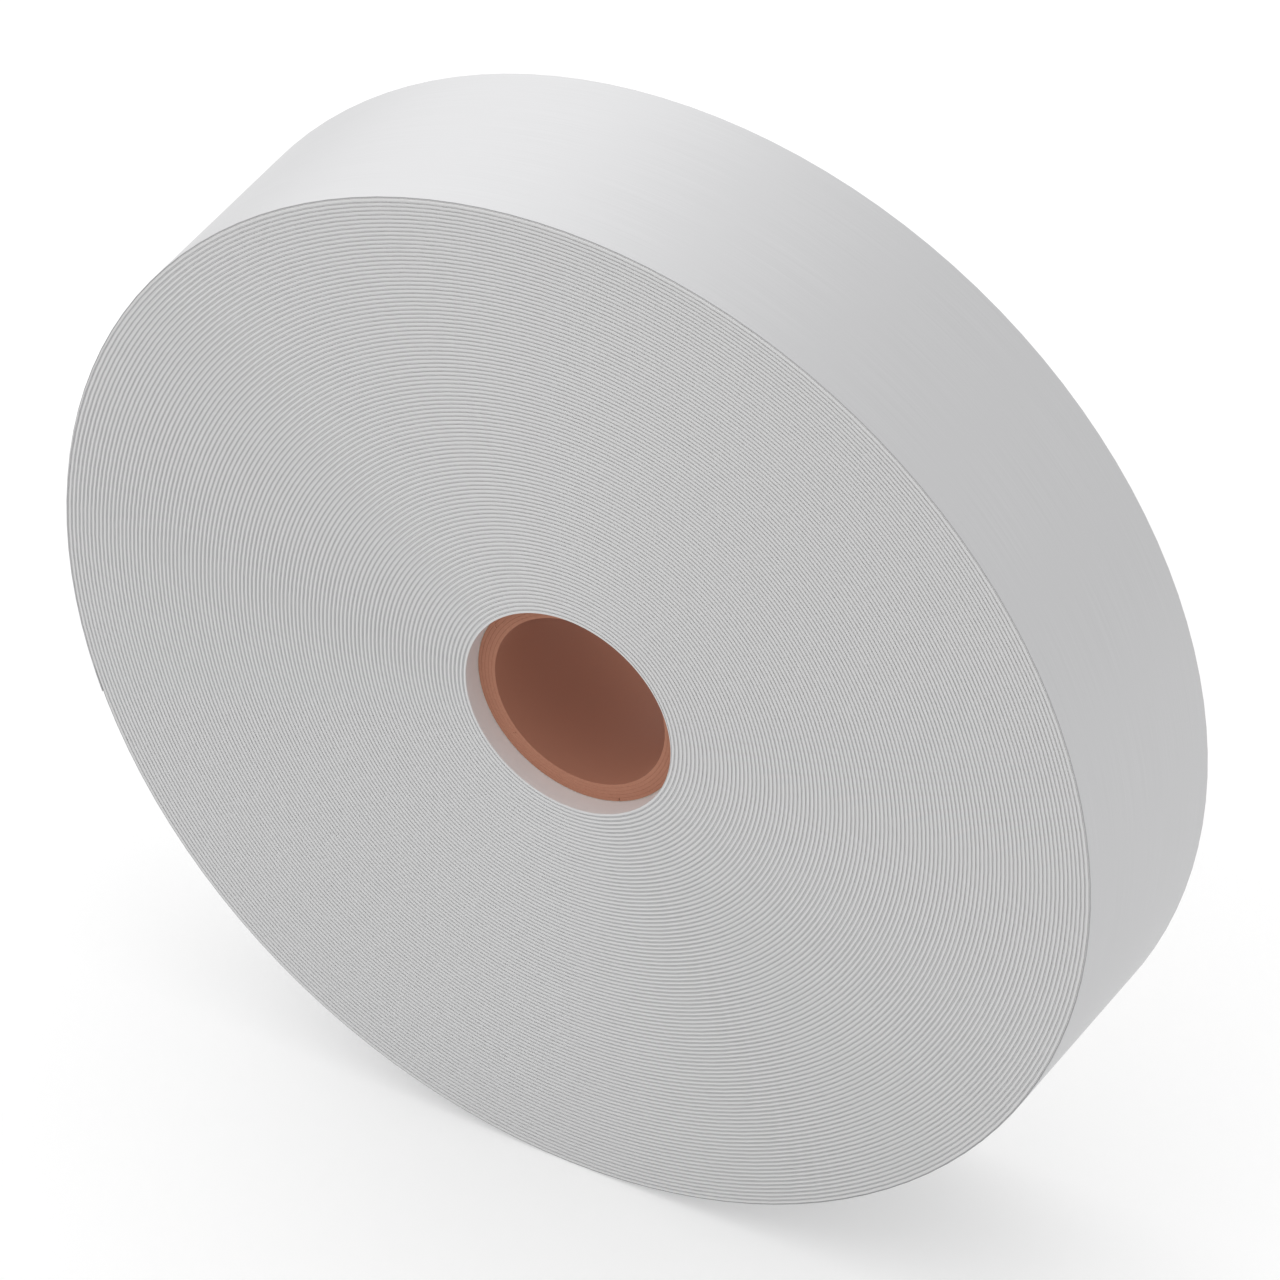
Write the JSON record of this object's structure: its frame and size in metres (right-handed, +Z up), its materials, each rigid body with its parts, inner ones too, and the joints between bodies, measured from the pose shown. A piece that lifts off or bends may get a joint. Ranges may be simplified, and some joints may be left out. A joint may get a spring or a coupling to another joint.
{
  "type": "copper foil tape roll",
  "caption": "Roll of tinned copper foil tape with a paper liner, wound foil side out on a recessed paperboard core; stands on its rim.",
  "frame": {"origin": "middle of the core, on the axis of the roll", "axes": "+Y along the axis of the roll, into the roll from its front side; +Z up, with the roll standing on its rim; +X to the right seen from the front"},
  "size_m": [0.1511, 0.0302, 0.151],
  "materials": {
    "core_liner_board": "matte",
    "core_board": "matte",
    "double_sided_tape": "matte",
    "pressed_strip": "satin",
    "tinned_foil": "satin",
    "adhesive": "matte",
    "liner_paper": "matte"
  },
  "bodies": {
    "root": {"core_ply_1": "core_liner_board", "core_ply_2": "core_board", "core_ply_3": "core_board", "core_ply_4": "core_board", "core_ply_5": "core_board", "starter_tape": "double_sided_tape", "wound_turns": "pressed_strip", "last_turn_foil": "tinned_foil", "last_turn_adhesive": "adhesive", "last_turn_liner": "liner_paper"}
  },
  "joints": []
}
